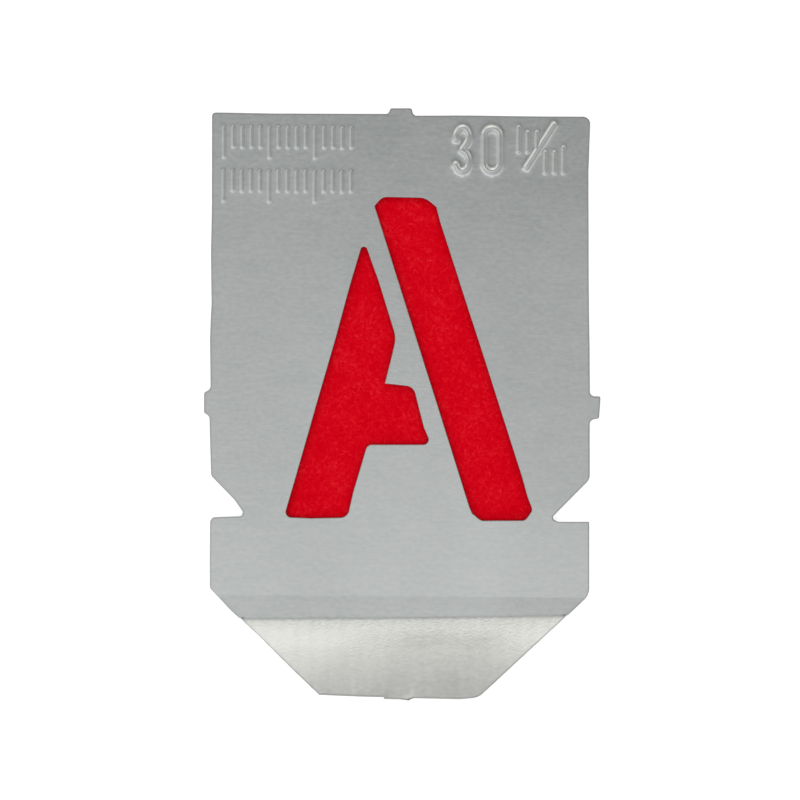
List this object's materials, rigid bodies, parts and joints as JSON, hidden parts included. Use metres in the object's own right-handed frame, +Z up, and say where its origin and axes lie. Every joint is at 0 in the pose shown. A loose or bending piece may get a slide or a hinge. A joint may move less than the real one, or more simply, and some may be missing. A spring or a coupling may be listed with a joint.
{
  "type": "lettering stencil",
  "caption": "Thin zinc sheet-metal lettering stencil with a capital letter cut through it, side notches and a bent-up grip flap, lying on a red card slip that shows through the letter.",
  "frame": {"origin": "under the middle of the outline seen from above, on the underside of the card, which is the surface that the part lies on", "axes": "+Z is up, out of the sheet's upper face; +Y is toward the top of the letter; +X is to the right when the letter is read; the grip flap is at -Y and bends up"},
  "size_m": [0.037, 0.0554, 0.0044],
  "materials": {
    "red_card": "matt, fibrous, through-dyed card",
    "zinc_sheet": "dull rolled zinc with a faint brushed grain"
  },
  "bodies": {
    "card": {"backing_card": "red_card"},
    "sheet": {"stencil_plate": "zinc_sheet"}
  },
  "joints": [
    {"name": "sheet_lift", "type": "slide", "parent": "card", "child": "sheet", "axis": [0, 0, 1], "range_m": [0, 0.02]}
  ]
}
